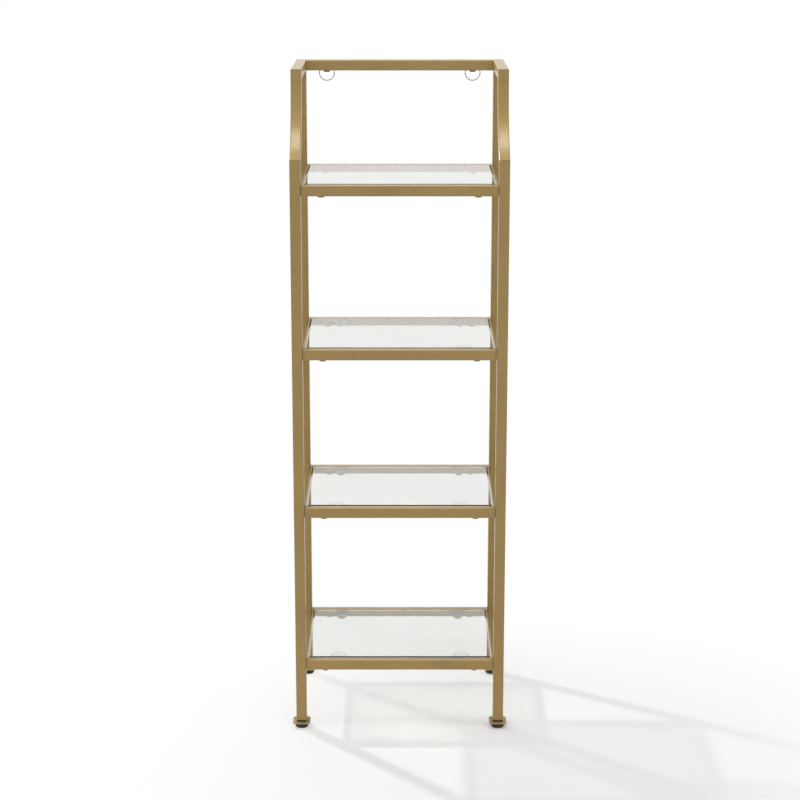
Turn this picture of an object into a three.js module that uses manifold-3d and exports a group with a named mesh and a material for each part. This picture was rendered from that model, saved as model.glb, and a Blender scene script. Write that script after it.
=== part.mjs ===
import * as THREE from "three";
import { mergeVertices } from "three/addons/utils/BufferGeometryUtils.js";
import Module from "manifold-3d";

// A tall open etagere: four square-tube posts, a crown that sweeps back above the top
// shelf, and four welded shelf frames whose glass panels rest on clear suction cups.
// Millimetres, Z up. The front faces -Y and the origin is on the floor below the middle.

// The stand as a whole
const overallWidth = 500;
const overallDepth = 365;
const overallHeight = 1575;

// Square tube of the posts, the crown and the top rails
const tubeSize = 25;
const tubeWall = 1.2;
const tubeCornerRadius = 2.5;
const cornerSegments = 2;

// Crown: the front joint lies this far below the top, and the tube sweeps back from it
const crownHeight = 202;
const crownSetback = 100;
const crownStraight = 7.5;
const crownSteps = 12;
const mitreBlockShare = 4;

// Shelf frames
const shelfCount = 4;
const topShelfDrop = 50.5;
const lowestShelfHeight = 175;
const railHeight = 25;
const railDepth = 20;
const railWall = 1.2;
const railCornerRadius = 2.5;
const barThickness = 3;
const frameGap = 0.5;
const boltHoleRadius = 3.3;
const boltHoleSides = 8;

// Glass panels
const glassThickness = 8;
const glassRise = 0.5;
const glassGap = 4;
const glassCornerRadius = 4;
const glassBevel = 0.8;

// Ears welded inside the front and rear rails, one under each suction cup
const cupFromSide = 102;
const earBaseWidth = 42;
const earReach = 23.5;
const earTipRadius = 8;
const earThickness = 3;
const earLift = 6;
const earHoleRadius = 3.4;

// Suction cups
const cupInset = 0.5;
const cupLip = 1;
const cupLipHeight = 0.8;
const cupHubRadius = 6.5;
const cupFloor = 1.6;
const cupNeckRadius = 3;
const cupHeadRadius = 4.8;
const cupHeadHeight = 2.6;
const cupCurveSteps = 2;
const cupSides = 12;
const cupSwellShare = 0.6;

// Feet
const padRadius = 15.5;
const padTopRadius = 13.5;
const padHeight = 12.2;
const padChamfer = 1.2;
const stemRadius = 4;
const stemLength = 38;
const stemChamfer = 1;
const threadClearance = 0.25;
const footSides = 16;
const plateSize = 41.5;
const plateThickness = 4;
const plateCorner = 5.5;
const nutRadius = 7.5;
const nutHeight = 6.5;
const nutSides = 6;

// Wall-tie rings and the hangers that hold them on the back of the top rear rail
const ringFromSide = 74;
const ringRadius = 18;
const ringWireRadius = 0.9;
const ringSides = 6;
const ringSteps = 24;
const hangerThickness = 1.2;
const hangerWidth = 17;
const hangerTail = 5.5;
const hangerTailRadius = 5;
const hangerShoulder = 3;
const eyeWidth = 9;
const eyeRadius = 1.5;
const eyeLift = 10;

// Gap between pieces that are welded, bolted or seated on one another
const seam = 0.3;
// Length by which every cutter passes the faces that it opens
const cutOverrun = 2;

const postX = (overallWidth - tubeSize) / 2;
const postY = (overallDepth - tubeSize) / 2;
const plateBottom = padHeight + seam;
const postBottom = plateBottom + plateThickness + seam;
const topRailZ = overallHeight - tubeSize / 2;

const crownJointHeight = overallHeight - crownHeight;
const crownY = crownSetback - postY;
const crownTop = topRailZ - crownStraight;
const crownRise = crownTop - crownJointHeight;
const crownRadius = (crownRise ** 2 + crownSetback ** 2) / (2 * crownSetback);
const crownLean = 2 * Math.atan2(crownSetback, crownRise);
const crownArc = crownRadius * crownLean;

const topShelfHeight = crownJointHeight - topShelfDrop;
const shelfPitch = (topShelfHeight - lowestShelfHeight) / (shelfCount - 1);
const barX = overallWidth / 2 - tubeSize - frameGap - barThickness / 2;
const railLength = 2 * (barX - barThickness / 2 - seam);
const earTop = earLift + earThickness - railHeight;
const glassBottom = glassRise - glassThickness;
const cupRadius = earReach - glassGap - cupInset;
const cupHeight = glassBottom - earTop - 2 * seam;
const cupX = overallWidth / 2 - cupFromSide;
const cupY = overallDepth / 2 - railDepth - earReach;

const hangerFront = overallDepth / 2 + seam;
const eyeY = hangerFront + hangerThickness + eyeRadius;

const wasm = await Module();
wasm.setup();

const materials = {
  gold: new THREE.MeshStandardMaterial({ color: 0x937b50, metalness: 0.7, roughness: 0.35 }),
  glass: new THREE.MeshStandardMaterial({
    color: 0xe6f0ec,
    metalness: 0,
    roughness: 0.05,
    transparent: true,
    opacity: 0.35,
  }),
  vinyl: new THREE.MeshStandardMaterial({ color: 0xdfe2dc, metalness: 0, roughness: 0.2 }),
  black: new THREE.MeshStandardMaterial({ color: 0x241f1b, metalness: 0, roughness: 0.6 }),
  steel: new THREE.MeshStandardMaterial({ color: 0xa8a69f, metalness: 1, roughness: 0.3 }),
};

const etagere = new THREE.Group();

/** Adds one named piece to the stand and returns its mesh. */
function addPiece(name, geometry, material) {
  const mesh = new THREE.Mesh(geometry, material.clone());
  mesh.name = name;
  etagere.add(mesh);
  return mesh;
}

/** A closed geometry as a solid that can be joined and cut. */
function solidFrom(geometry) {
  const bare = geometry.clone();
  bare.deleteAttribute("normal");
  bare.deleteAttribute("uv");
  const merged = mergeVertices(bare);
  return new wasm.Manifold(
    new wasm.Mesh({
      numProp: 3,
      vertProperties: merged.attributes.position.array,
      triVerts: new Uint32Array(merged.index.array),
    }),
  );
}

/** A joined or cut solid as a geometry. */
function geometryFrom(solid) {
  const mesh = solid.getMesh();
  const geometry = new THREE.BufferGeometry();
  geometry.setAttribute("position", new THREE.BufferAttribute(mesh.vertProperties, mesh.numProp));
  geometry.setIndex(new THREE.BufferAttribute(mesh.triVerts, 1));
  geometry.computeVertexNormals();
  return geometry;
}

/** A rectangle with round corners, centred on the origin. */
function roundedRectangle(width, height, radius) {
  const x = width / 2;
  const y = height / 2;
  const outline = new THREE.Shape();
  outline.moveTo(radius - x, -y);
  outline.absarc(x - radius, radius - y, radius, -Math.PI / 2, 0, false);
  outline.absarc(x - radius, y - radius, radius, 0, Math.PI / 2, false);
  outline.absarc(radius - x, y - radius, radius, Math.PI / 2, Math.PI, false);
  outline.absarc(radius - x, radius - y, radius, Math.PI, (3 * Math.PI) / 2, false);
  outline.closePath();
  return outline;
}

/** The section of a hollow rectangular tube. */
function tubeSection(width, height, wall, cornerRadius) {
  const section = roundedRectangle(width, height, cornerRadius);
  section.holes.push(roundedRectangle(width - 2 * wall, height - 2 * wall, cornerRadius - wall));
  return section;
}

/** A flat outline given a thickness upwards from zero. */
function extrude(outline, thickness, curveSegments) {
  return new THREE.ExtrudeGeometry(outline, { depth: thickness, bevelEnabled: false, curveSegments });
}

/** A straight post tube, upright on the origin. */
function uprightTube(length) {
  const section = tubeSection(tubeSize, tubeSize, tubeWall, tubeCornerRadius);
  return extrude(section, length, cornerSegments);
}

/** A turned piece from a profile that starts and ends on the axis, with Z as its axis. */
function turned(profile, sides) {
  return new THREE.LatheGeometry(profile, sides).rotateX(Math.PI / 2);
}

// Bends of a side frame. The tilt is the angle of the mitre plane's normal from upright
// towards the back, and the normal points along the way from the front post to the rear one.
const crownJoint = { y: -postY, z: crownJointHeight, tilt: crownLean / 2 };
const topFrontCorner = { y: crownY, z: topRailZ, tilt: Math.PI / 4 };
const topRearCorner = { y: postY, z: topRailZ, tilt: (3 * Math.PI) / 4 };

/** Cuts a tube along a mitre plane, half a seam before it. */
function mitreEnd(solid, corner) {
  return cutPastPlane(solid, corner, corner.tilt);
}

/** Cuts a tube along a mitre plane, half a seam after it. */
function mitreStart(solid, corner) {
  return cutPastPlane(solid, corner, corner.tilt + Math.PI);
}

function cutPastPlane(solid, corner, tilt) {
  const side = tubeSize * mitreBlockShare;
  const block = new THREE.BoxGeometry(side, side, side);
  block.translate(0, 0, (side - seam) / 2);
  block.rotateX(-tilt);
  block.translate(0, corner.y, corner.z);
  return solid.subtract(solidFrom(block));
}

/** Centre line of a crown tube: it leans back out of the post and curves until upright. */
class CrownLine extends THREE.Curve {
  getPoint(share, target = new THREE.Vector3()) {
    const wholeLength = tubeSize + crownArc + crownStraight + tubeSize;
    const travelled = share * wholeLength - tubeSize;
    const alongArc = THREE.MathUtils.clamp(travelled, 0, crownArc);
    const alongLine = travelled - alongArc;
    const lean = crownLean - alongArc / crownRadius;
    const y = crownY - crownRadius * (1 - Math.cos(lean)) + alongLine * Math.sin(lean);
    const z = crownTop - crownRadius * Math.sin(lean) + alongLine * Math.cos(lean);
    return target.set(0, y, z);
  }
}

/** Height of a shelf's rail tops, counted from the top shelf down. */
function shelfHeight(shelf) {
  return topShelfHeight - (shelf - 1) * shelfPitch;
}

/** Bolt holes in a post's inner wall, one behind each shelf frame. */
function drillPost(post, y, side) {
  const depth = tubeWall + 2 * cutOverrun;
  for (let shelf = 1; shelf <= shelfCount; shelf++) {
    const drill = new THREE.CylinderGeometry(boltHoleRadius, boltHoleRadius, depth, boltHoleSides);
    drill.rotateZ(Math.PI / 2);
    drill.translate((-side * (tubeSize - tubeWall)) / 2, y, shelfHeight(shelf) - railHeight / 2);
    post = post.subtract(solidFrom(drill));
  }
  return post;
}

function frontPost(side) {
  const blank = uprightTube(crownJointHeight + tubeSize - postBottom);
  const post = mitreEnd(solidFrom(blank.translate(0, -postY, postBottom)), crownJoint);
  return geometryFrom(drillPost(post, -postY, side));
}

function rearPost(side) {
  const blank = uprightTube(topRailZ + tubeSize - postBottom);
  const post = mitreStart(solidFrom(blank.translate(0, postY, postBottom)), topRearCorner);
  return geometryFrom(drillPost(post, postY, side));
}

function crownTube() {
  const section = tubeSection(tubeSize, tubeSize, tubeWall, tubeCornerRadius);
  const sweep = new THREE.ExtrudeGeometry(section, {
    steps: crownSteps,
    curveSegments: cornerSegments,
    extrudePath: new CrownLine(),
  });
  return geometryFrom(mitreEnd(mitreStart(solidFrom(sweep), crownJoint), topFrontCorner));
}

function topSideRail() {
  const blank = uprightTube(postY - crownY + 2 * tubeSize);
  blank.rotateX(-Math.PI / 2);
  blank.translate(0, crownY - tubeSize, topRailZ);
  return geometryFrom(mitreEnd(mitreStart(solidFrom(blank), topFrontCorner), topRearCorner));
}

function topRearRail() {
  const length = overallWidth - 2 * (tubeSize + seam);
  return uprightTube(length).translate(0, 0, -length / 2).rotateY(Math.PI / 2);
}

/** A square foot plate with clipped corners and the weld nut that stands inside the post. */
function footPlate() {
  const half = plateSize / 2;
  const clipped = half - plateCorner;
  const outline = new THREE.Shape([
    new THREE.Vector2(-clipped, -half),
    new THREE.Vector2(clipped, -half),
    new THREE.Vector2(half, -clipped),
    new THREE.Vector2(half, clipped),
    new THREE.Vector2(clipped, half),
    new THREE.Vector2(-clipped, half),
    new THREE.Vector2(-half, clipped),
    new THREE.Vector2(-half, -clipped),
  ]);
  const stack = plateThickness + nutHeight;
  const nut = new THREE.CylinderGeometry(nutRadius, nutRadius, stack, nutSides);
  nut.rotateX(Math.PI / 2).translate(0, 0, stack / 2);
  const boreRadius = stemRadius + threadClearance;
  const bore = new THREE.CylinderGeometry(boreRadius, boreRadius, stack + 2 * cutOverrun, footSides);
  bore.rotateX(Math.PI / 2).translate(0, 0, stack / 2);
  const plate = solidFrom(extrude(outline, plateThickness, cornerSegments));
  return geometryFrom(plate.add(solidFrom(nut)).subtract(solidFrom(bore)));
}

/** A tapered foot pad moulded on its threaded stem, with the floor at zero. */
function leveler() {
  const stemTop = padHeight + stemLength;
  return turned(
    [
      new THREE.Vector2(0, 0),
      new THREE.Vector2(padRadius - padChamfer, 0),
      new THREE.Vector2(padRadius, padChamfer),
      new THREE.Vector2(padTopRadius, padHeight),
      new THREE.Vector2(stemRadius, padHeight),
      new THREE.Vector2(stemRadius, stemTop - stemChamfer),
      new THREE.Vector2(stemRadius - stemChamfer, stemTop),
      new THREE.Vector2(0, stemTop),
    ],
    footSides,
  );
}

/** A tab with a round tip and a hole for the cup's neck, its base inside the rail's wall. */
function ear() {
  const baseX = earBaseWidth / 2;
  const baseY = -railWall / 2;
  const slope = Math.atan2(baseY - earReach, baseX);
  const tangent = slope + Math.acos(earTipRadius / Math.hypot(baseX, earReach - baseY));
  const outline = new THREE.Shape();
  outline.moveTo(-baseX, baseY);
  outline.lineTo(baseX, baseY);
  outline.absarc(0, earReach, earTipRadius, tangent, Math.PI - tangent, false);
  outline.closePath();
  const hole = new THREE.Path();
  hole.absarc(0, earReach, earHoleRadius, 0, 2 * Math.PI, true);
  outline.holes.push(hole);
  return extrude(outline, earThickness, cornerSegments * 2);
}

/** A front rail with its two ears. Y zero is its outer face and Z zero its top. */
function shelfRail() {
  const section = tubeSection(railHeight, railDepth, railWall, railCornerRadius);
  const bar = extrude(section, railLength, cornerSegments);
  bar.translate(0, railDepth / 2, -railLength / 2).rotateY(Math.PI / 2);
  bar.translate(0, 0, -railHeight / 2);
  let rail = solidFrom(bar);
  for (const side of [-1, 1]) {
    const tab = ear().translate(side * cupX, railDepth, earTop - earThickness);
    rail = rail.add(solidFrom(tab));
  }
  return geometryFrom(rail);
}

/** A flat bar at the side of a shelf frame, with a bolt hole in front of each post. */
function sideBar() {
  const outline = new THREE.Shape();
  outline.moveTo(-overallDepth / 2, -railHeight);
  outline.lineTo(overallDepth / 2, -railHeight);
  outline.lineTo(overallDepth / 2, 0);
  outline.lineTo(-overallDepth / 2, 0);
  outline.closePath();
  for (const y of [-postY, postY]) {
    const hole = new THREE.Path();
    hole.absarc(y, -railHeight / 2, boltHoleRadius, 0, 2 * Math.PI, true);
    outline.holes.push(hole);
  }
  const bar = extrude(outline, barThickness, cornerSegments * 2);
  return bar.rotateX(Math.PI / 2).rotateZ(Math.PI / 2).translate(-barThickness / 2, 0, 0);
}

/** A glass panel with ground edges, its top face at zero. */
function glassPanel() {
  const width = 2 * (barX - barThickness / 2 - glassGap);
  const depth = overallDepth - 2 * (railDepth + glassGap);
  const panel = new THREE.ExtrudeGeometry(roundedRectangle(width, depth, glassCornerRadius), {
    depth: glassThickness - 2 * glassBevel,
    bevelThickness: glassBevel,
    bevelSize: glassBevel,
    bevelOffset: -glassBevel,
    bevelSegments: 1,
    curveSegments: cornerSegments,
  });
  return panel.translate(0, 0, glassBevel - glassThickness);
}

/** A mushroom-headed suction cup. Z zero is the top of the ear that it sits in. */
function suctionCup() {
  const rim = seam + cupHeight;
  const headTop = -earThickness - seam;
  const swell = cupHubRadius + (cupRadius - cupHubRadius) * cupSwellShare;
  const inner = cupRadius - cupLip;
  const outside = new THREE.QuadraticBezierCurve(
    new THREE.Vector2(cupHubRadius, seam),
    new THREE.Vector2(swell, seam),
    new THREE.Vector2(cupRadius, rim - cupLipHeight),
  );
  const inside = new THREE.QuadraticBezierCurve(
    new THREE.Vector2(inner, rim),
    new THREE.Vector2(inner * cupSwellShare, seam + cupFloor),
    new THREE.Vector2(0, seam + cupFloor),
  );
  return turned(
    [
      new THREE.Vector2(0, headTop - cupHeadHeight),
      new THREE.Vector2(cupNeckRadius, headTop - cupHeadHeight),
      new THREE.Vector2(cupHeadRadius, headTop),
      new THREE.Vector2(cupNeckRadius, headTop),
      new THREE.Vector2(cupNeckRadius, seam),
      ...outside.getPoints(cupCurveSteps),
      new THREE.Vector2(cupRadius, rim),
      ...inside.getPoints(cupCurveSteps),
    ],
    cupSides,
  );
}

/** A hanger plate whose top is rolled into an eye. Z zero is the bottom of the rail. */
function ringHanger() {
  const half = hangerWidth / 2;
  const tailX = half - hangerTailRadius;
  const tailY = hangerTailRadius - hangerTail;
  const outline = new THREE.Shape();
  outline.moveTo(-tailX, -hangerTail);
  outline.absarc(tailX, tailY, hangerTailRadius, -Math.PI / 2, 0, false);
  outline.lineTo(half, hangerShoulder);
  outline.lineTo(eyeWidth / 2, eyeLift);
  outline.lineTo(-eyeWidth / 2, eyeLift);
  outline.lineTo(-half, hangerShoulder);
  outline.absarc(-tailX, tailY, hangerTailRadius, Math.PI, (3 * Math.PI) / 2, false);
  outline.closePath();
  const plate = extrude(outline, hangerThickness, cornerSegments);
  plate.rotateX(Math.PI / 2).translate(0, hangerFront + hangerThickness, 0);

  const roll = new THREE.Shape();
  roll.absarc(0, 0, eyeRadius + hangerThickness, 0, 2 * Math.PI, false);
  const bore = new THREE.Path();
  bore.absarc(0, 0, eyeRadius, 0, 2 * Math.PI, true);
  roll.holes.push(bore);
  const eye = extrude(roll, eyeWidth, cornerSegments * 4);
  eye.translate(0, 0, -eyeWidth / 2).rotateY(Math.PI / 2).translate(0, eyeY, eyeLift);

  const tunnelLength = eyeWidth + 2 * cutOverrun;
  const tunnel = new THREE.CylinderGeometry(eyeRadius, eyeRadius, tunnelLength, ringSides * 2);
  tunnel.rotateZ(Math.PI / 2).translate(0, eyeY, eyeLift);
  return geometryFrom(solidFrom(plate).add(solidFrom(eye)).subtract(solidFrom(tunnel)));
}

/** A round wire ring in the plane of the stand's back, centred on the origin. */
function wireRing() {
  const ring = new THREE.TorusGeometry(ringRadius, ringWireRadius, ringSides, ringSteps);
  return ring.rotateX(Math.PI / 2);
}

// Side frames, feet and hangers, left and right
for (const [sideName, side] of [
  ["left", -1],
  ["right", 1],
]) {
  addPiece(`${sideName}_front_post`, frontPost(side), materials.gold).position.x = side * postX;
  addPiece(`${sideName}_rear_post`, rearPost(side), materials.gold).position.x = side * postX;
  addPiece(`${sideName}_crown_tube`, crownTube(), materials.gold).position.x = side * postX;
  addPiece(`${sideName}_top_side_rail`, topSideRail(), materials.gold).position.x = side * postX;

  for (const [endName, end] of [
    ["front", -1],
    ["rear", 1],
  ]) {
    const foot = `${endName}_${sideName}`;
    const plate = addPiece(`${foot}_foot_plate`, footPlate(), materials.gold);
    plate.position.set(side * postX, end * postY, plateBottom);
    const pad = addPiece(`${foot}_leveler`, leveler(), materials.black);
    pad.position.set(side * postX, end * postY, 0);
  }

  const ringX = side * (overallWidth / 2 - ringFromSide);
  const railBottom = overallHeight - tubeSize;
  const halfSag = (ringRadius - Math.sqrt(ringRadius ** 2 - (eyeWidth / 2) ** 2)) / 2;
  const ringZ = railBottom + eyeLift + halfSag - ringRadius;
  const hanger = addPiece(`${sideName}_ring_hanger`, ringHanger(), materials.steel);
  hanger.position.set(ringX, 0, railBottom);
  const ring = addPiece(`${sideName}_ring`, wireRing(), materials.steel);
  ring.position.set(ringX, eyeY, ringZ);
}
addPiece("top_rear_rail", topRearRail(), materials.gold).position.set(0, postY, topRailZ);

// Shelves from the top down: frame, four cups and a glass panel
for (let shelf = 1; shelf <= shelfCount; shelf++) {
  const height = shelfHeight(shelf);
  const name = `shelf_${shelf}`;
  const frontRail = addPiece(`${name}_front_rail`, shelfRail(), materials.gold);
  frontRail.position.set(0, -overallDepth / 2, height);
  const rearRail = addPiece(`${name}_rear_rail`, shelfRail(), materials.gold);
  rearRail.rotation.z = Math.PI;
  rearRail.position.set(0, overallDepth / 2, height);
  addPiece(`${name}_left_bar`, sideBar(), materials.gold).position.set(-barX, 0, height);
  addPiece(`${name}_right_bar`, sideBar(), materials.gold).position.set(barX, 0, height);
  addPiece(`${name}_glass`, glassPanel(), materials.glass).position.set(0, 0, height + glassRise);
  for (const [cornerName, x, y] of [
    ["front_left", -1, -1],
    ["front_right", 1, -1],
    ["rear_left", -1, 1],
    ["rear_right", 1, 1],
  ]) {
    const cup = addPiece(`${name}_${cornerName}_cup`, suctionCup(), materials.vinyl);
    cup.position.set(x * cupX, y * cupY, height + earTop);
  }
}

export default etagere;
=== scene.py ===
from math import acos, atan2, cos, hypot, pi, radians, sin

import bmesh
import bpy
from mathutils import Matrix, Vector


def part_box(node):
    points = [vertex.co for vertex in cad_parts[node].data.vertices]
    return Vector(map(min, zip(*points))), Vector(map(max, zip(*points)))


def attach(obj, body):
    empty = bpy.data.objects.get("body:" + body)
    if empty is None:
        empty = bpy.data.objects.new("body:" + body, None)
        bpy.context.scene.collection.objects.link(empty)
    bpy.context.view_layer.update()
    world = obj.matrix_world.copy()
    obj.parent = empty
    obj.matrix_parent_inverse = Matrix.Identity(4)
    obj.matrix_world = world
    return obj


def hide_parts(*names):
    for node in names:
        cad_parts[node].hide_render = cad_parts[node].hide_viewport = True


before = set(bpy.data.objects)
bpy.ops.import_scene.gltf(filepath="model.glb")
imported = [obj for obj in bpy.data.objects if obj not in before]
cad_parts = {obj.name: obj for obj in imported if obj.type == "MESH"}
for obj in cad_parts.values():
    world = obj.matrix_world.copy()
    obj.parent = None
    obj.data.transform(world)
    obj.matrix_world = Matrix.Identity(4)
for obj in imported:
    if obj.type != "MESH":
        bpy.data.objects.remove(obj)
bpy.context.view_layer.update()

MM = 0.001
X, Y, Z = 0, 1, 2
SIDES = {"left": -1, "right": 1}
ENDS = {"front": -1, "rear": 1}
CORNERS = {f"{end}_{side}": (x, y) for end, y in ENDS.items() for side, x in SIDES.items()}

# The stand
WIDTH = 500 * MM
DEPTH = 365 * MM
HEIGHT = 1575 * MM
SEAM = 0.3 * MM

# Square tube
TUBE = 25 * MM
TUBE_WALL = 1.2 * MM
TUBE_CORNER = 2.5 * MM
TUBE_FLAT = TUBE / 2 - TUBE_CORNER
POST_BOTTOM = 20.4 * MM

# How far the sharp edges of the mitres are filed
CORNER_FILING = 0.45 * MM
JOINT_FILING = 0.9 * MM

# Crown
CROWN_JOINT = HEIGHT - 202 * MM
CROWN_SETBACK = 100 * MM
CROWN_STRAIGHT = 7.5 * MM

# Foot plates and their weld nuts
PLATE_TOP = 16.5 * MM
PLATE_THICKNESS = 4 * MM
PLATE_HALF = 20.75 * MM
PLATE_CLIP = 5.5 * MM
PLATE_EDGE = 0.7 * MM
NUT_RADIUS = 7.5 * MM
NUT_HEIGHT = 6.5 * MM
NUT_LIFT = 7.2 * MM
NUT_RIM = 1 * MM
NUT_FACE = 2.3 * MM
NUT_HOLLOW = -1 * MM
NUT_EDGE = 0.3 * MM

# Plugs in the ends of the posts, whose black rims are partly painted shade for the gap between post
# and plate
PLUG_HALF = 12.2 * MM
PLUG_GAP = 0.05 * MM
PLUG_WALL = 3 * MM
PLUG_EDGE = 0.2 * MM

# Shelves: heights of the rail tops, from the top shelf down
SHELF_TOPS = [1322.5 * MM, 940 * MM, 557.5 * MM, 175 * MM]
RAIL_HEIGHT = 25 * MM
RAIL_DEPTH = 20 * MM
RAIL_END = 221.2 * MM
BAR_INNER = 221.5 * MM
BAR_OUTER = 224.5 * MM
BAR_EDGE = 0.5 * MM
BUTTON_X = 179 * MM

# Glass, its edges this far inside its frame and its top this far above the rails
GLASS_THICKNESS = 8 * MM
GLASS_RISE = 0.5 * MM
GLASS_GAP = 4 * MM
GLASS_CORNER = 4 * MM
GLASS_ARRIS = 0.8 * MM

# Ears and suction cups
CUP_X = 148 * MM
EAR_REACH = 23.5 * MM
EAR_SINK = 0.6 * MM
EAR_TIP = 8 * MM
EAR_BASE = 21 * MM
EAR_HOLE = 3.4 * MM
EAR_TOP = -16 * MM
EAR_THICKNESS = 3 * MM
EAR_EDGE = 0.35 * MM
ARC_SLACK = 0.1 * MM

# Rings and their hangers
RING_X = 176 * MM
RING_RADIUS = 18 * MM
WIRE_RADIUS = 0.9 * MM
WIRE_EDGE = 0.15 * MM
WIRE_CUT_DEPTH = 1.2 * MM
WIRE_CUT_WIDTH = 0.6 * MM
HANGER_THICKNESS = 1.2 * MM
HANGER_HALF = 8.5 * MM
HANGER_TAIL = 5.5 * MM
HANGER_SHOULDER = 3 * MM
HANGER_NECK = 7 * MM
HANGER_NECK_SHARE = 9 / 17
HANGER_CORNER = 5 * MM
HANGER_EDGE = 0.25 * MM
RIVET_LIFT = 1.5 * MM
EYE_LIFT = 10 * MM
EYE_BORE = 1.5 * MM

# Lines of (radius, height) points in millimetres that are turned to round pieces
PAD_OUTLINE = [(0, 0.6), (9, 0.6), (9.6, 0), (13.6, 0), (14.8, 0.5), (15.4, 1.5), (15.1, 4)]
PAD_OUTLINE += [(14.4, 9.2), (14, 11), (13.2, 12), (12.2, 12.2), (7, 12.2), (6.4, 11.8)]
PAD_OUTLINE += [(5.2, 11.8), (5.2, 12.1), (4, 12.1)]
THREAD_TURN = [(4, 0), (4, 0.2), (3.45, 0.6), (3.45, 0.75)]
STEM_TIP = [(3.6, 49.6), (2.9, 50.1), (0, 50.1)]
BUTTON_OUTLINE = [(0, -3.7), (5.6, -3.5), (7.2, -2.9), (8.1, -1.8), (8.3, -0.5), (8.3, 0.1)]
BUTTON_OUTLINE += [(0, 0.1)]
CUP_OUTLINE = [(0, -5.9), (2.6, -5.9), (3.7, -5.4), (4.8, -4), (4.8, -3.5), (4.5, -3.3)]
CUP_OUTLINE += [(3, -3.3), (3, 0.2), (3.4, 0.3), (6.1, 0.3), (6.8, 0.7), (9.6, 1.8)]
CUP_OUTLINE += [(13.4, 3.9), (16.4, 6), (18.4, 7.3), (19, 7.8), (19, 8.1), (18.5, 8.2)]
CUP_OUTLINE += [(17.2, 7.3), (13, 4.9), (8, 2.9), (4, 2.1), (0, 1.9)]
EYE_OUTLINE = [(1.5, -4.3), (1.7, -4.5), (2.5, -4.5), (2.7, -4.3)]
EYE_OUTLINE += [(radius, -height) for radius, height in reversed(EYE_OUTLINE)]
RIVET_OUTLINE = [(0, 1.3), (1.6, 1.2), (2.7, 0.8), (3.4, 0.1), (3.4, -0.2), (0, -0.2)]

# The thread of the feet, in millimetres too
THREAD_TURNS = 29
THREAD_START = 12.8
THREAD_PITCH = 1.25

# Steps in rounded edges, bends and round pieces
SMALL_EDGE_STEPS = 2
EDGE_STEPS = 3
TUBE_CORNER_STEPS = 5
GLASS_CORNER_STEPS = 6
HANGER_CORNER_STEPS = 8
SWEEP_STEPS = 16
CROWN_STEPS = 40
SMALL_ROUND_SIDES = 32
ROUND_SIDES = 40
EAR_TIP_SIDES = 64
RING_SIDES = 96
WIRE_SIDES = 14

# Limits for picking, merging and smoothing
SAME_PLACE = 0.01 * MM
SAME_POINT = 0.005 * MM
ALONG_AN_AXIS = 0.99
FACING_AN_AXIS = 0.9
CREASE = radians(60)
SMOOTH_BELOW = radians(32)
FLAT_FACE_WEIGHT = 100

# Studio, in metres
SWEEP_WIDTH = 14
SWEEP_DEPTH = 12
SWEEP_HEIGHT = 8
SWEEP_BEND = 2.5
SWEEP_FORWARD = -6
# Painted light: the paper glows least around this centre, where the stand's shadow falls, and more
# away from it, which lightens the floor and that shadow
FADE_CENTRE = (0.3, -0.4, 0)
FADE_START = 0.25
FADE_END = 1.03
FADE_LEAST = 0.18
SHINE_SHARE = 0.92
ROOM_LIGHT = 0.59
CAMERA_ASIDE = 0.0006
CAMERA_DISTANCE = 4.5
CAMERA_HEIGHT = 1.992
CAMERA_PITCH = 13.9
CAMERA_LENS = 90
CAMERA_SHIFT = -0.03

# Places that follow from the sizes above
POST_X = (WIDTH - TUBE) / 2
POST_Y = (DEPTH - TUBE) / 2
TOP_RAIL_Z = HEIGHT - TUBE / 2
RAIL_BOTTOM = HEIGHT - TUBE
CUP_Y = DEPTH / 2 - RAIL_DEPTH - EAR_REACH
BUTTON_Y = (DEPTH - RAIL_DEPTH) / 2
HANGER_FRONT = DEPTH / 2 + SEAM
HANGER_BACK = HANGER_FRONT + HANGER_THICKNESS
CROWN_Y = CROWN_SETBACK - POST_Y
CROWN_TOP = TOP_RAIL_Z - CROWN_STRAIGHT
CROWN_RISE = CROWN_TOP - CROWN_JOINT
CROWN_RADIUS = (CROWN_RISE**2 + CROWN_SETBACK**2) / (2 * CROWN_SETBACK)
CROWN_LEAN = 2 * atan2(CROWN_SETBACK, CROWN_RISE)


# Shaping tools


def clear_selection():
    if bpy.context.mode != "OBJECT":
        bpy.ops.object.mode_set(mode="OBJECT")
    bpy.ops.object.select_all(action="DESELECT")


def work_on(piece):
    clear_selection()
    piece.select_set(True)
    bpy.context.view_layer.objects.active = piece


def edit(piece):
    work_on(piece)
    bpy.ops.object.mode_set(mode="EDIT")
    bpy.ops.mesh.select_mode(type="VERT")
    bpy.ops.mesh.select_all(action="SELECT")


def settle(name):
    """Ends editing, puts the piece's place into its mesh and names it."""
    if bpy.context.mode != "OBJECT":
        bpy.ops.object.mode_set(mode="OBJECT")
    bpy.ops.object.transform_apply(location=True, rotation=True, scale=True)
    piece = bpy.context.object
    piece.name = name
    piece.data.name = name
    return piece


def pick(kind, test):
    """Selects the verts, edges or faces of the piece in hand that pass the test."""
    bpy.ops.mesh.select_mode(type={"verts": "VERT", "edges": "EDGE", "faces": "FACE"}[kind])
    bpy.ops.mesh.select_all(action="DESELECT")
    mesh = bmesh.from_edit_mesh(bpy.context.object.data)
    for item in getattr(mesh, kind):
        if test(item):
            item.select_set(True)
    mesh.select_flush_mode()
    bmesh.update_edit_mesh(bpy.context.object.data)


def ends_of(edge):
    return edge.verts[0].co, edge.verts[1].co


def runs_along(edge, axis):
    start, end = ends_of(edge)
    way = end - start
    return abs(way[axis]) > ALONG_AN_AXIS * way.length


def lies_at(edge, axis, value):
    return all(abs(point[axis] - value) < SAME_PLACE for point in ends_of(edge))


def is_crease(edge):
    return len(edge.link_faces) == 2 and edge.calc_face_angle() > CREASE


def is_line_end(vert):
    return len(vert.link_edges) == 1


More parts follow.
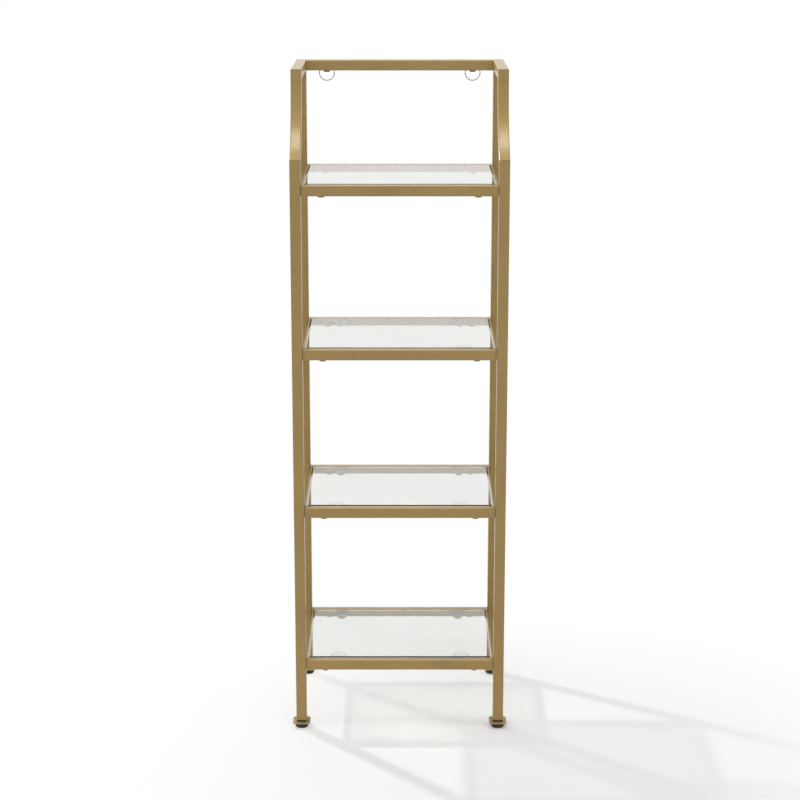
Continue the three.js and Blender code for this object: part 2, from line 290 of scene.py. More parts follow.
def soften(width, segments):
    bpy.ops.mesh.bevel(offset=width, segments=segments, affect="EDGES")


def slide(way):
    return {"value": Vector(way)}


def close_and_face_out():
    """Merges points that meet and turns every face of the piece in hand outwards."""
    bpy.ops.mesh.select_all(action="SELECT")
    bpy.ops.mesh.remove_doubles(threshold=SAME_POINT)
    bpy.ops.mesh.normals_make_consistent(inside=False)


def add_block(name, low, high):
    clear_selection()
    low, high = Vector(low), Vector(high)
    bpy.ops.mesh.primitive_cube_add(size=1, location=(low + high) / 2, scale=high - low)
    return settle(name)


def give_wall(piece, thickness):
    work_on(piece)
    wall = piece.modifiers.new("wall", "SOLIDIFY")
    wall.thickness = thickness
    wall.offset = -1
    bpy.ops.object.modifier_apply(modifier=wall.name)


def round_tube(name, low, high, axis, wall=TUBE_WALL):
    """A length of rectangular tube with round edges and its wall showing at the ends."""
    tube = add_block(name, low, high)
    edit(tube)
    pick("edges", lambda edge: runs_along(edge, axis))
    soften(TUBE_CORNER, TUBE_CORNER_STEPS)
    pick("faces", lambda face: abs(face.normal[axis]) > FACING_AN_AXIS)
    bpy.ops.mesh.delete(type="FACE")
    give_wall(tube, wall)
    return tube


def mitre(tube, corner, tilt, middle, filing=CORNER_FILING):
    """Cuts a side frame's tube half a seam short of a corner and closes its wall there.

    The sharp outer edge is filed: middle gives the tube's centre line at the cut."""
    way = Vector((0, sin(tilt), cos(tilt)))
    across = Vector((0, cos(tilt), -sin(tilt)))
    cut = Vector(corner) - way * SEAM / 2
    edit(tube)
    bpy.ops.mesh.bisect(plane_co=cut, plane_no=way, clear_outer=True)
    pick("edges", lambda edge: edge.is_boundary)
    bpy.ops.mesh.bridge_edge_loops()
    stretch = abs(Vector(middle).normalized().dot(way))

    def on_skin(point):
        """True for a point in the cut that lies beyond the middle of the wall."""
        apart = point - cut
        if abs(apart.dot(way)) > SAME_PLACE:
            return False
        aside = abs(apart.x)
        along = abs(apart.dot(across)) * stretch
        bend = hypot(max(aside - TUBE_FLAT, 0), max(along - TUBE_FLAT, 0))
        return max(aside, along) > (TUBE - TUBE_WALL) / 2 or bend > TUBE_CORNER - TUBE_WALL / 2

    pick("edges", lambda edge: all(on_skin(point) for point in ends_of(edge)))
    soften(filing, SMALL_EDGE_STEPS)
    bpy.ops.object.mode_set(mode="OBJECT")


def lathe(name, centre, outline, sides, axis=Z, closed=False):
    """Turns a line of (radius, height) points in millimetres about an axis."""
    clear_selection()
    out = Vector((0, 1, 0)) if axis == X else Vector((1, 0, 0))
    up = Vector([float(axis == way) for way in (X, Y, Z)])
    path = [Vector(centre) + out * (radius * MM) + up * (height * MM) for radius, height in outline]
    bpy.ops.mesh.primitive_plane_add(size=MM, location=path[0])
    edit(settle(name))
    bpy.ops.mesh.merge(type="CENTER")
    for last, point in zip(path, path[1:]):
        bpy.ops.mesh.extrude_vertices_move(TRANSFORM_OT_translate=slide(point - last))
    if closed:
        pick("verts", is_line_end)
        bpy.ops.mesh.edge_face_add()
    bpy.ops.mesh.select_all(action="SELECT")
    bpy.ops.mesh.spin(steps=sides, angle=2 * pi, center=centre, axis=up)
    close_and_face_out()
    return settle(name)


def join(name, *pieces):
    work_on(pieces[0])
    for piece in pieces[1:]:
        piece.select_set(True)
    bpy.ops.object.join()
    return settle(name)


def copy_of(piece, name, offset=(0, 0, 0), half_turn=False):
    """A copy with its own mesh, turned half round the stand's middle and moved.

    A piece that already has the name is not copied: it is the first of its kind."""
    if piece.name == name:
        return piece
    work_on(piece)
    bpy.ops.object.duplicate(linked=False)
    if half_turn:
        bpy.ops.transform.rotate(value=pi, orient_axis="Z", center_override=(0, 0, 0))
    bpy.ops.transform.translate(value=offset)
    return settle(name)


def way_to(corner, half_width, half_depth):
    """The way from the front left corner to another, for pieces this far off the middle."""
    x, y = CORNERS[corner]
    return Vector(((x + 1) * half_width, (y + 1) * half_depth, 0))


def dress(piece, finish, slot, body, *nodes):
    """Smooths a piece, gives it its finish and ties it to the frame."""
    work_on(piece)
    bpy.ops.object.shade_smooth_by_angle(angle=SMOOTH_BELOW)
    flats = piece.modifiers.new("flats", "WEIGHTED_NORMAL")
    flats.keep_sharp = True
    flats.weight = FLAT_FACE_WEIGHT
    bpy.ops.object.modifier_apply(modifier=flats.name)
    piece.data.materials.clear()
    piece.data.materials.append(finish)
    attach(piece, body)
    if nodes:
        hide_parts(*nodes)


# Finishes

# Between these two values a noise pattern does nearly all of its changing
NOISE_LOW = 0.3
NOISE_HIGH = 0.7

# Places of the colours among the sockets of a Mix node
FIRST_COLOUR = 6
SECOND_COLOUR = 7
MIXED_COLOUR = 2


def shade(red, green, blue):
    """A colour written as it shows on screen, in the renderer's own linear values."""
    shown = [value / 255 for value in (red, green, blue)]
    return [v / 12.92 if v < 0.04045 else ((v + 0.055) / 1.055) ** 2.4 for v in shown] + [1]


def new_finish(name, **sockets):
    finish = bpy.data.materials.new(name)
    finish.use_nodes = True
    skin = finish.node_tree.nodes["Principled BSDF"]
    for socket, value in sockets.items():
        skin.inputs[socket.replace("_", " ")].default_value = value
    return finish, skin


def grain(finish, scale, detail, stretch=(1, 1, 1)):
    """A noise pattern that stays with the piece. Scale counts its grains to a metre."""
    tree = finish.node_tree
    place = tree.nodes.new("ShaderNodeTexCoord")
    turn = tree.nodes.new("ShaderNodeMapping")
    turn.inputs["Scale"].default_value = stretch
    noise = tree.nodes.new("ShaderNodeTexNoise")
    noise.inputs["Scale"].default_value = scale
    noise.inputs["Detail"].default_value = detail
    tree.links.new(place.outputs["Object"], turn.inputs["Vector"])
    tree.links.new(turn.outputs["Vector"], noise.inputs["Vector"])
    return noise.outputs["Fac"]


def carried(finish, name):
    """A value that the faces of the piece carry as an attribute."""
    mark = finish.node_tree.nodes.new("ShaderNodeAttribute")
    mark.attribute_name = name
    return mark.outputs["Fac"]


def spread(finish, pattern, low, high):
    """Turns a pattern into a value from low to high."""
    node = finish.node_tree.nodes.new("ShaderNodeMapRange")
    node.inputs["From Min"].default_value = NOISE_LOW
    node.inputs["From Max"].default_value = NOISE_HIGH
    node.inputs["To Min"].default_value = low
    node.inputs["To Max"].default_value = high
    finish.node_tree.links.new(pattern, node.inputs["Value"])
    return node.outputs["Result"]


def tones(finish, pattern, first, second):
    """Turns a pattern into colours from the first to the second."""
    node = finish.node_tree.nodes.new("ShaderNodeValToRGB")
    steps = node.color_ramp.elements
    steps[0].position, steps[0].color = NOISE_LOW, first
    steps[1].position, steps[1].color = NOISE_HIGH, second
    finish.node_tree.links.new(pattern, node.inputs["Fac"])
    return node.outputs["Color"]


def emboss(finish, skin, pattern, height, strength):
    node = finish.node_tree.nodes.new("ShaderNodeBump")
    node.inputs["Distance"].default_value = height
    node.inputs["Strength"].default_value = strength
    finish.node_tree.links.new(pattern, node.inputs["Height"])
    finish.node_tree.links.new(node.outputs["Normal"], skin.inputs["Normal"])


def multiply(finish, first, second):
    node = finish.node_tree.nodes.new("ShaderNodeMix")
    node.data_type = "RGBA"
    node.blend_type = "MULTIPLY"
    node.inputs["Factor"].default_value = 1
    finish.node_tree.links.new(first, node.inputs[FIRST_COLOUR])
    finish.node_tree.links.new(second, node.inputs[SECOND_COLOUR])
    return node.outputs[MIXED_COLOUR]


def mix_on_surface(tree, share, first, second):
    """Shows the second shader by the share's amount and the first for the rest."""
    both = tree.nodes.new("ShaderNodeMixShader")
    for source, socket in zip((share, first, second), both.inputs):
        tree.links.new(source, socket)
    tree.links.new(both.outputs["Shader"], tree.nodes["Material Output"].inputs["Surface"])


def let_lamps_through(finish, skin, tint):
    """Lamp light goes straight through, so that a clear piece throws only a faint shadow."""
    tree = finish.node_tree
    rays = tree.nodes.new("ShaderNodeLightPath")
    clear = tree.nodes.new("ShaderNodeBsdfTransparent")
    clear.inputs["Color"].default_value = tint
    mix_on_surface(tree, rays.outputs["Is Shadow Ray"], skin.outputs["BSDF"], clear.outputs["BSDF"])


def gold_lacquer():
    """Gold paint under a soft clear coat, its tone broken up by fine flakes."""
    dark, light = shade(159, 129, 59), shade(168, 137, 65)
    dim_flake, bright_flake = (0.86, 0.86, 0.86, 1), (1.1, 1.1, 1.1, 1)
    finish, skin = new_finish(
        "gold_lacquer", Metallic=0.6, Coat_Weight=1.0, Coat_Roughness=0.27, Coat_IOR=1.6
    )
    links = finish.node_tree.links
    tone = tones(finish, grain(finish, scale=9, detail=3), dark, light)
    flake = tones(finish, grain(finish, scale=1400, detail=2), dim_flake, bright_flake)
    cloud = spread(finish, grain(finish, scale=60, detail=3), low=0.54, high=0.64)
    links.new(multiply(finish, tone, flake), skin.inputs["Base Color"])
    links.new(cloud, skin.inputs["Roughness"])
    emboss(finish, skin, grain(finish, scale=700, detail=2), height=0.02 * MM, strength=0.25)
    return finish


def clear_glass():
    """Clear through its faces and dark green through its ground edges. The edges' green is the
    glass's own tint, and their darkness is painted shade.
    """
    edge, face = shade(58, 74, 66), shade(243, 240, 240)
    lamp_tint, depth_tint = (0.66, 0.66, 0.66, 1), (0.58, 0.78, 0.6, 1)
    finish, skin = new_finish("clear_glass", Transmission_Weight=0.95, IOR=1.5)
    links = finish.node_tree.links
    # Upright faces get a dark colour: painted shade standing in for how light inside the glass
    # darkens its edges
    links.new(tones(finish, carried(finish, "levelness"), edge, face), skin.inputs["Base Color"])
    haze = spread(finish, grain(finish, scale=7, detail=4), low=0.0, high=0.012)
    links.new(haze, skin.inputs["Roughness"])
    emboss(finish, skin, grain(finish, scale=4, detail=1), height=0.05 * MM, strength=0.05)
    let_lamps_through(finish, skin, lamp_tint)
    body = finish.node_tree.nodes.new("ShaderNodeVolumeAbsorption")
    body.inputs["Color"].default_value = depth_tint
    body.inputs["Density"].default_value = 14
    links.new(body.outputs["Volume"], finish.node_tree.nodes["Material Output"].inputs["Volume"])
    return finish


def clear_vinyl():
    """Soft clear plastic with a little haze."""
    dull, bright = shade(244, 246, 244), shade(252, 253, 251)
    lamp_tint = (0.9, 0.9, 0.9, 1)
    finish, skin = new_finish("soft_clear_vinyl", Transmission_Weight=0.97, IOR=1.45)
    links = finish.node_tree.links
    haze = grain(finish, scale=160, detail=3)
    links.new(tones(finish, haze, dull, bright), skin.inputs["Base Color"])
    links.new(spread(finish, haze, low=0.04, high=0.09), skin.inputs["Roughness"])
    emboss(finish, skin, grain(finish, scale=900, detail=2), height=0.02 * MM, strength=0.2)
    let_lamps_through(finish, skin, lamp_tint)
    return finish


def black_nylon():
    """Moulded black plastic with a fine grain."""
    dark, light = shade(24, 21, 19), shade(44, 39, 34)
    finish, skin = new_finish("black_nylon", IOR=1.5)
    links = finish.node_tree.links
    cloud = grain(finish, scale=90, detail=3)
    links.new(tones(finish, cloud, dark, light), skin.inputs["Base Color"])
    links.new(spread(finish, cloud, low=0.42, high=0.62), skin.inputs["Roughness"])
    emboss(finish, skin, grain(finish, scale=2600, detail=2), height=0.04 * MM, strength=0.5)
    return finish


def plated_steel(name, dark, light, low, high, stretch=(1, 1, 1)):
    """Dark plated metal, its roughness from low to high and its grain drawn out by stretch."""
    finish, skin = new_finish(name, Metallic=1.0)
    links = finish.node_tree.links
    brush = grain(finish, 500, 3, stretch)
    links.new(tones(finish, brush, dark, light), skin.inputs["Base Color"])
    links.new(spread(finish, brush, low, high), skin.inputs["Roughness"])
    emboss(finish, skin, brush, height=0.02 * MM, strength=0.3)
    return finish


GOLD = gold_lacquer()
GLASS = clear_glass()
VINYL = clear_vinyl()
NYLON = black_nylon()
HANGER_STEEL = plated_steel(
    "dark_nickel_plate",
    dark=shade(84, 78, 66),
    light=shade(112, 105, 90),
    low=0.28,
    high=0.44,
    stretch=(1, 1, 0.08),
)
RING_STEEL = plated_steel(
    "dark_nickel_wire", dark=shade(66, 62, 54), light=shade(86, 81, 70), low=0.2, high=0.32
)


# Side frames: posts, crowns and top rails

UPRIGHT = (0, 0, 1)
LEVEL = (0, 1, 0)
LEANING = (0, sin(CROWN_LEAN), cos(CROWN_LEAN))
JOINT_CORNER = (-POST_X, -POST_Y, CROWN_JOINT)
FRONT_CORNER = (-POST_X, CROWN_Y, TOP_RAIL_Z)
REAR_CORNER = (-POST_X, POST_Y, TOP_RAIL_Z)


def post(name, y, top):
    low = (-POST_X - TUBE / 2, y - TUBE / 2, POST_BOTTOM)
    high = (-POST_X + TUBE / 2, y + TUBE / 2, top)
    return round_tube(name, low, high, Z)


def front_post():
    tube = post("left_front_post_tube", -POST_Y, CROWN_JOINT + TUBE)
    mitre(tube, JOINT_CORNER, CROWN_LEAN / 2, UPRIGHT, filing=JOINT_FILING)
    return tube


def rear_post():
    tube = post("left_rear_post_tube", POST_Y, TOP_RAIL_Z + TUBE)
    mitre(tube, REAR_CORNER, 3 * pi / 4 + pi, UPRIGHT)
    return tube


def crown():
    """The section is swept along the leaning start, the bend and the upright end."""
    clear_selection()
    lead = Vector(LEANING) * TUBE
    bpy.ops.mesh.primitive_plane_add(
        size=TUBE, location=Vector(JOINT_CORNER) - lead, rotation=(-CROWN_LEAN, 0, 0)
    )
    tube = settle("left_crown")
    edit(tube)
    bpy.ops.mesh.bevel(offset=TUBE_CORNER, segments=TUBE_CORNER_STEPS, affect="VERTICES")
    bpy.ops.mesh.delete(type="ONLY_FACE")
    bpy.ops.mesh.select_all(action="SELECT")
    bpy.ops.mesh.extrude_region_move(TRANSFORM_OT_translate=slide(lead))
    hub = (-POST_X, CROWN_Y - CROWN_RADIUS, CROWN_TOP)
    bpy.ops.mesh.spin(steps=CROWN_STEPS, angle=-CROWN_LEAN, center=hub, axis=(1, 0, 0))
    bpy.ops.mesh.extrude_region_move(TRANSFORM_OT_translate=slide((0, 0, CROWN_STRAIGHT + TUBE)))
    close_and_face_out()
    give_wall(tube, TUBE_WALL)
    mitre(tube, JOINT_CORNER, CROWN_LEAN / 2 + pi, LEANING)
    mitre(tube, FRONT_CORNER, pi / 4, UPRIGHT)
    return tube


def side_rail():
    low = (-POST_X - TUBE / 2, CROWN_Y - TUBE, TOP_RAIL_Z - TUBE / 2)
    high = (-POST_X + TUBE / 2, POST_Y + TUBE, TOP_RAIL_Z + TUBE / 2)
    tube = round_tube("left_top_rail", low, high, Y)
    mitre(tube, FRONT_CORNER, pi / 4 + pi, LEVEL)
    mitre(tube, REAR_CORNER, 3 * pi / 4, LEVEL)
    return tube


def rear_rail():
    """The tube that ties the two side frames together."""
    half_length = WIDTH / 2 - TUBE - SEAM
    low = (-half_length, DEPTH / 2 - TUBE, RAIL_BOTTOM)
    high = (half_length, DEPTH / 2, HEIGHT)
    return round_tube("top_rear_tube", low, high, X)


for piece, kind in (
    (front_post(), "front_post"),
    (rear_post(), "rear_post"),
    (crown(), "crown_tube"),
    (side_rail(), "top_side_rail"),
):
    twin = copy_of(piece, piece.name.replace("left", "right"), offset=(2 * POST_X, 0, 0))
    dress(piece, GOLD, "gold_tube", "stand", f"left_{kind}")
    dress(twin, GOLD, "gold_tube", "stand", f"right_{kind}")
dress(rear_rail(), GOLD, "gold_tube", "stand", "top_rear_rail")


# Feet


def foot_plate():
    """A plate with clipped corners and soft edges, and its weld nut inside the post."""
    bottom = PLATE_TOP - PLATE_THICKNESS
    low = (-POST_X - PLATE_HALF, -POST_Y - PLATE_HALF, bottom)
    high = (-POST_X + PLATE_HALF, -POST_Y + PLATE_HALF, PLATE_TOP)
    plate = add_block("front_left_plate", low, high)
    edit(plate)
    pick("edges", lambda edge: runs_along(edge, Z))
    soften(PLATE_CLIP, 1)
    pick("edges", lambda edge: not runs_along(edge, Z))
    soften(PLATE_EDGE, EDGE_STEPS)
    clear_selection()
    centre = (-POST_X, -POST_Y, bottom + NUT_LIFT)
    bpy.ops.mesh.primitive_cylinder_add(
        vertices=6, radius=NUT_RADIUS, depth=NUT_HEIGHT, location=centre
    )
    nut = settle("nut")
    edit(nut)
    pick("faces", lambda face: abs(face.normal.z) > FACING_AN_AXIS)
    bpy.ops.mesh.inset(thickness=NUT_RIM)
    bpy.ops.mesh.inset(thickness=NUT_FACE)
    bpy.ops.mesh.extrude_region_shrink_fatten(TRANSFORM_OT_shrink_fatten={"value": NUT_HOLLOW})
    pick("edges", lambda edge: runs_along(edge, Z) and is_crease(edge))
    soften(NUT_EDGE, SMALL_EDGE_STEPS)
    return join("front_left_plate", plate, nut)


def foot_pad():
    """A moulded pad with a soft rim on a stem whose ridges are its thread."""
    outline = list(PAD_OUTLINE)
    for turn in range(THREAD_TURNS):
        start = THREAD_START + turn * THREAD_PITCH
        outline += [(radius, start + height) for radius, height in THREAD_TURN]
    outline += STEM_TIP
    return lathe("front_left_pad", (-POST_X, -POST_Y, 0), outline, ROUND_SIDES)


def plug_rim_and_gap_shade():
    """The black rim of the plug in a post's end, which shows between post and plate. Its black is
    partly painted shade: it stands in for the shade in that gap.
    """
    low = (-POST_X - PLUG_HALF, -POST_Y - PLUG_HALF, PLATE_TOP + PLUG_GAP)
    high = (-POST_X + PLUG_HALF, -POST_Y + PLUG_HALF, POST_BOTTOM - PLUG_GAP)
    plug_and_gap_shade = round_tube("front_left_plug", low, high, Z, PLUG_WALL)
    edit(plug_and_gap_shade)
    pick("edges", is_crease)
    soften(PLUG_EDGE, SMALL_EDGE_STEPS)
    return settle("front_left_plug")


first_plate = foot_plate()
first_pad = foot_pad()
first_plug_and_gap_shade = plug_rim_and_gap_shade()
feet = []
for corner in CORNERS:
    offset = way_to(corner, POST_X, POST_Y)
    plate = copy_of(first_plate, f"{corner}_plate", offset)
    pad = copy_of(first_pad, f"{corner}_pad", offset)
    plug_and_gap_shade = copy_of(first_plug_and_gap_shade, f"{corner}_plug", offset)
    feet.append((corner, plate, pad, plug_and_gap_shade))
for corner, plate, pad, plug_and_gap_shade in feet:
    # The plug's black rim is partly painted shade, standing in for the gap's shade between post and
    # plate
    dress(plug_and_gap_shade, NYLON, "black_pad", "stand")
    dress(plate, GOLD, "gold_plate", "stand", f"{corner}_foot_plate")
    dress(pad, NYLON, "black_pad", f"{corner}_foot", f"{corner}_leveler")


# Shelves


def ear(x, top):
    """A tab drawn from the arc of its tip to its base on the rail, with the cup's hole."""
    y = -CUP_Y
    bottom = top + EAR_TOP - EAR_THICKNESS
    base_y = -DEPTH / 2 + RAIL_DEPTH - EAR_SINK
    reach = y - base_y
    turn = acos(EAR_TIP / hypot(EAR_BASE, reach)) - atan2(reach, EAR_BASE)
    arc_start = EAR_TIP * sin(turn) - ARC_SLACK
    clear_selection()
    bpy.ops.mesh.primitive_circle_add(
        vertices=EAR_TIP_SIDES, radius=EAR_TIP, location=(x, y, bottom)
    )
    tab = settle("ear")
    edit(tab)
    pick("verts", lambda vert: vert.co.y - y < arc_start)
    bpy.ops.mesh.delete(type="VERT")
    for way in SIDES.values():
        pick("verts", lambda vert: is_line_end(vert) and (vert.co.x - x) * way > EAR_TIP / 2)
        mesh = bmesh.from_edit_mesh(tab.data)
        end = next(vert.co.copy() for vert in mesh.verts if vert.select)
        corner = Vector((x + way * EAR_BASE, base_y, bottom))
        bpy.ops.mesh.extrude_vertices_move(TRANSFORM_OT_translate=slide(corner - end))
    pick("verts", is_line_end)
    bpy.ops.mesh.edge_face_add()
    bpy.ops.mesh.primitive_circle_add(
        vertices=SMALL_ROUND_SIDES, radius=EAR_HOLE, location=(x, y, bottom)
    )
    bpy.ops.mesh.select_all(action="SELECT")
    bpy.ops.mesh.fill(use_beauty=True)
    bpy.ops.mesh.select_all(action="SELECT")
    bpy.ops.mesh.extrude_region_move(TRANSFORM_OT_translate=slide((0, 0, EAR_THICKNESS)))
    bpy.ops.mesh.select_all(action="SELECT")
    bpy.ops.mesh.normals_make_consistent(inside=False)
    pick("edges", is_crease)
    soften(EAR_EDGE, SMALL_EDGE_STEPS)
    return settle("ear")


def button(top):
    """A low round head under a rail."""
    centre = (-BUTTON_X, -DEPTH / 2 + RAIL_DEPTH / 2, top - RAIL_HEIGHT)
    return lathe("shelf_1_front_left_button", centre, BUTTON_OUTLINE, SMALL_ROUND_SIDES)


def shelf_rail(top):
    low = (-RAIL_END, -DEPTH / 2, top - RAIL_HEIGHT)
    high = (RAIL_END, -DEPTH / 2 + RAIL_DEPTH, top)
    rail = round_tube("rail", low, high, X)
    ears = [ear(x, top) for x in (-CUP_X, CUP_X)]
    return join("shelf_1_front_tube", rail, *ears)


def side_bar(top):
    low = (-BAR_OUTER, -DEPTH / 2, top - RAIL_HEIGHT)
    high = (-BAR_INNER, DEPTH / 2, top)
    bar = add_block("shelf_1_left_flat", low, high)
    edit(bar)
    soften(BAR_EDGE, EDGE_STEPS)
    return settle("shelf_1_left_flat")


def glass_panel(top):
    """A panel whose faces carry how level they lie: 0 on an upright one, 1 on a level one."""
    high = top + GLASS_RISE
    low = high - GLASS_THICKNESS
    half_width = BAR_INNER - GLASS_GAP
    half_depth = DEPTH / 2 - RAIL_DEPTH - GLASS_GAP
    panel = add_block(
        "shelf_1_pane", (-half_width, -half_depth, low), (half_width, half_depth, high)
    )
    edit(panel)
    pick("edges", lambda edge: runs_along(edge, Z))
    soften(GLASS_CORNER, GLASS_CORNER_STEPS)
    pick("edges", lambda edge: lies_at(edge, Z, low) or lies_at(edge, Z, high))
    soften(GLASS_ARRIS, EDGE_STEPS)
    panel = settle("shelf_1_pane")
    # The glass finish paints shade on the upright faces by this attribute
    levelness = panel.data.attributes.new("levelness", "FLOAT", "FACE")
    for face in panel.data.polygons:
        levelness.data[face.index].value = abs(face.normal.z)
    return panel


def suction_cup(top):
    """A clear cup, its button head under the ear and its dished rim under the glass."""
    centre = (-CUP_X, -CUP_Y, top + EAR_TOP)
    return lathe("shelf_1_front_left_sucker", centre, CUP_OUTLINE, ROUND_SIDES)


def on_shelf(piece, number, name, offset=(0, 0, 0), half_turn=False):
    """The piece of the first shelf itself, or its copy on a lower one."""
    drop = SHELF_TOPS[number - 1] - SHELF_TOPS[0]
    offset = Vector(offset) + Vector((0, 0, drop))
    return copy_of(piece, f"shelf_{number}_{name}", offset, half_turn)


rail = shelf_rail(SHELF_TOPS[0])
bar = side_bar(SHELF_TOPS[0])
pane = glass_panel(SHELF_TOPS[0])
sucker = suction_cup(SHELF_TOPS[0])
knob = button(SHELF_TOPS[0])
gold = (GOLD, "gold_frame", "stand")
shelves = []
for number in range(1, len(SHELF_TOPS) + 1):
    shelf = f"shelf_{number}"
    front_tube = on_shelf(rail, number, "front_tube")
    rear_tube = on_shelf(rail, number, "rear_tube", half_turn=True)
    left_flat = on_shelf(bar, number, "left_flat")
    right_flat = on_shelf(bar, number, "right_flat", half_turn=True)
    shelves.append((front_tube, *gold, f"{shelf}_front_rail"))
    shelves.append((rear_tube, *gold, f"{shelf}_rear_rail"))
    shelves.append((left_flat, *gold, f"{shelf}_left_bar"))
    shelves.append((right_flat, *gold, f"{shelf}_right_bar"))
    panel = on_shelf(pane, number, "pane")
    shelves.append((panel, GLASS, "shelf_glass", f"glass_{number}", f"{shelf}_glass"))
    for corner in CORNERS:
        cup = on_shelf(sucker, number, f"{corner}_sucker", way_to(corner, CUP_X, CUP_Y))
        shelves.append((cup, VINYL, "clear_vinyl", "stand", f"{shelf}_{corner}_cup"))
        head = on_shelf(knob, number, f"{corner}_button", way_to(corner, BUTTON_X, BUTTON_Y))
        shelves.append((head, *gold))
for row in shelves:
    dress(*row)


# Rings and hangers


def hanger():
    """A plate with a round tail, drawn in at the top to an eye, and its rivet."""
    x = -RING_X
    low = (x - HANGER_HALF, HANGER_FRONT, RAIL_BOTTOM - HANGER_TAIL)
    high = (x + HANGER_HALF, HANGER_BACK, RAIL_BOTTOM + HANGER_SHOULDER)
    plate = add_block("hanger_plate", low, high)
    edit(plate)
    pick("edges", lambda edge: runs_along(edge, Y) and ends_of(edge)[0].z < RAIL_BOTTOM)
    soften(HANGER_CORNER, HANGER_CORNER_STEPS)
    pick("faces", lambda face: face.normal.z > FACING_AN_AXIS)
    bpy.ops.mesh.extrude_region_move(TRANSFORM_OT_translate=slide((0, 0, HANGER_NECK)))
    bpy.ops.transform.resize(
        value=(HANGER_NECK_SHARE, 1, 1), center_override=(x, HANGER_FRONT, 0)
    )
    pick("edges", lambda edge: is_crease(edge) and not runs_along(edge, Y))
    soften(HANGER_EDGE, SMALL_EDGE_STEPS)
    clear_selection()
    eye_centre = (x, HANGER_BACK + EYE_BORE, RAIL_BOTTOM + EYE_LIFT)
    eye = lathe("eye", eye_centre, EYE_OUTLINE, SMALL_ROUND_SIDES, axis=X, closed=True)
    rivet_centre = (x, HANGER_BACK, RAIL_BOTTOM + RIVET_LIFT)
    rivet = lathe("rivet", rivet_centre, RIVET_OUTLINE, SMALL_ROUND_SIDES, axis=Y)
    return join("left_hanger", plate, eye, rivet)


def wire_ring():
    """A ring of round wire, notched and closed again inside the hanger's eye."""
    box_low, box_high = (Vector(point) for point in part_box("left_ring"))
    middle = (box_low + box_high) / 2
    clear_selection()
    bpy.ops.mesh.primitive_torus_add(
        major_segments=RING_SIDES,
        minor_segments=WIRE_SIDES,
        major_radius=RING_RADIUS,
        minor_radius=WIRE_RADIUS,
        location=middle,
        rotation=(pi / 2, 0, 0),
    )
    ring = settle("left_wire_ring")
    edit(ring)

    def in_notch(face):
        place = face.calc_center_median() - middle
        return place.z > RING_RADIUS - WIRE_CUT_DEPTH and 0 < place.x < WIRE_CUT_WIDTH

    pick("faces", in_notch)
    bpy.ops.mesh.delete(type="FACE")
    bpy.ops.mesh.select_mode(type="EDGE")
    bpy.ops.mesh.select_all(action="SELECT")
    bpy.ops.mesh.fill_holes(sides=0)
    pick("edges", is_crease)
    soften(WIRE_EDGE, SMALL_EDGE_STEPS)
    return settle("left_wire_ring")


first_hook = hanger()
first_ring = wire_ring()
for side, across in (("right", 2 * RING_X), ("left", 0)):
    hook = copy_of(first_hook, f"{side}_hanger", (across, 0, 0))
    ring = copy_of(first_ring, f"{side}_wire_ring", (across, 0, 0))
    dress(hook, HANGER_STEEL, "hanger_steel", "stand", f"{side}_ring_hanger")
    dress(ring, RING_STEEL, "ring_steel", f"{side}_tie_ring", f"{side}_ring")


# Studio


def background_rays(tree):
    """One for what the camera sees straight or through glass, a little less in a shine."""
    rays = tree.nodes.new("ShaderNodeLightPath")
    shine = tree.nodes.new("ShaderNodeMath")
    shine.operation = "MULTIPLY"
    shine.inputs[1].default_value = SHINE_SHARE
    tree.links.new(rays.outputs["Is Glossy Ray"], shine.inputs[0])
    total = shine.outputs["Value"]
    for name in ("Is Camera Ray", "Is Transmission Ray"):
        larger = tree.nodes.new("ShaderNodeMath")
        larger.operation = "MAXIMUM"
        tree.links.new(total, larger.inputs[0])
        tree.links.new(rays.outputs[name], larger.inputs[1])
        total = larger.outputs["Value"]
    return total


def paper_sheet():
    """A floor that curves up into the backdrop."""
    clear_selection()
    bpy.ops.mesh.primitive_plane_add(size=1, location=(0, 0.5, 0))
    sheet = settle("paper_sweep")
    edit(sheet)
    bpy.ops.transform.resize(value=(SWEEP_WIDTH, SWEEP_DEPTH, 1), center_override=(0, 0, 0))
    pick("edges", lambda edge: lies_at(edge, Y, SWEEP_DEPTH))
    bpy.ops.mesh.extrude_region_move(TRANSFORM_OT_translate=slide((0, 0, SWEEP_HEIGHT)))
    pick("edges", lambda edge: lies_at(edge, Y, SWEEP_DEPTH) and lies_at(edge, Z, 0))
    soften(SWEEP_BEND, SWEEP_STEPS)
    bpy.ops.mesh.select_all(action="SELECT")
    bpy.ops.transform.translate(value=(0, SWEEP_FORWARD, 0))
    return settle("paper_sweep")


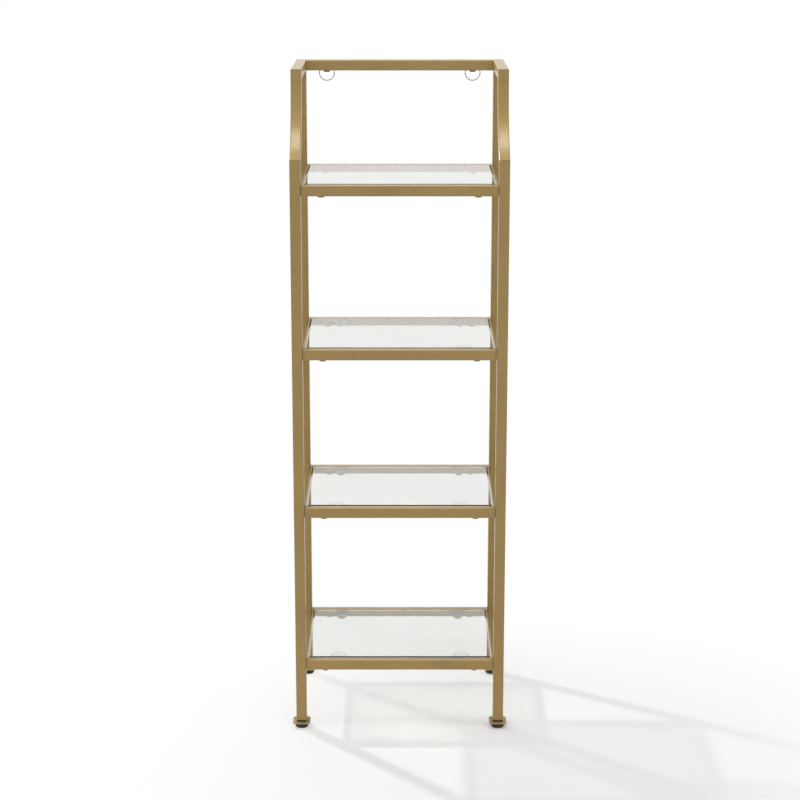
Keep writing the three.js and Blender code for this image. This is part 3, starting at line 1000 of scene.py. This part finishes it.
def white_paper():
    """Paper that takes the stand's shadow and fades to pure white away from it. The fade is partly
    painted light: an uneven glow, seen straight, in shines and through glass, which lightens the
    floor and its shadow around the stand.
    """
    paper, skin = new_finish("white_paper", Base_Color=shade(251, 251, 251), Roughness=0.9)
    tree = paper.node_tree
    white = tree.nodes.new("ShaderNodeEmission")
    place = tree.nodes.new("ShaderNodeTexCoord")
    away = tree.nodes.new("ShaderNodeVectorMath")
    away.operation = "DISTANCE"
    away.inputs[1].default_value = FADE_CENTRE
    tree.links.new(place.outputs["Object"], away.inputs[0])
    fade = tree.nodes.new("ShaderNodeMapRange")
    fade.interpolation_type = "SMOOTHSTEP"
    fade.inputs["From Min"].default_value = FADE_START
    fade.inputs["From Max"].default_value = FADE_END
    fade.inputs["To Min"].default_value = FADE_LEAST
    tree.links.new(away.outputs["Value"], fade.inputs["Value"])
    share = tree.nodes.new("ShaderNodeMath")
    share.operation = "MULTIPLY"
    tree.links.new(fade.outputs["Result"], share.inputs[0])
    tree.links.new(background_rays(tree), share.inputs[1])
    mix_on_surface(tree, share.outputs["Value"], skin.outputs["BSDF"], white.outputs["Emission"])
    return paper


def room_light(strength):
    world = bpy.data.worlds.new("studio")
    bpy.context.scene.world = world
    world.use_nodes = True
    tree = world.node_tree
    sky = tree.nodes["Background"]
    sky.inputs["Color"].default_value = (1, 1, 1, 1)
    level = tree.nodes.new("ShaderNodeMapRange")
    level.inputs["To Min"].default_value = strength
    level.inputs["To Max"].default_value = 1
    tree.links.new(background_rays(tree), level.inputs["Value"])
    tree.links.new(level.outputs["Result"], sky.inputs["Strength"])


def softbox(name, place, target, size, power):
    clear_selection()
    bpy.ops.object.light_add(type="AREA", location=place)
    lamp = bpy.context.object
    lamp.name = name
    lamp.data.shape = "RECTANGLE"
    lamp.data.size, lamp.data.size_y = size
    lamp.data.energy = power
    lamp.rotation_euler = (Vector(target) - Vector(place)).to_track_quat("-Z", "Y").to_euler()


def aim_camera():
    clear_selection()
    place = (CAMERA_ASIDE, -DEPTH / 2 - CAMERA_DISTANCE, CAMERA_HEIGHT)
    bpy.ops.object.camera_add(location=place, rotation=(radians(90 - CAMERA_PITCH), 0, 0))
    camera = bpy.context.object
    camera.name = "front_view"
    camera.data.lens = CAMERA_LENS
    camera.data.shift_y = CAMERA_SHIFT
    bpy.context.scene.camera = camera


sweep = paper_sheet()
sweep.data.materials.append(white_paper())
work_on(sweep)
bpy.ops.object.shade_smooth_by_angle(angle=SMOOTH_BELOW)
room_light(ROOM_LIGHT)
softbox("overhead", place=(0, -1.15, 5.7), target=(0, 0, 1.3), size=(1.5, 2.1), power=58)
softbox("key", place=(-1.7, 1.45, 2.65), target=(0, 0, 0.4), size=(0.11, 0.11), power=35)
aim_camera()
bpy.context.scene.view_settings.view_transform = "Standard"

clear_selection()
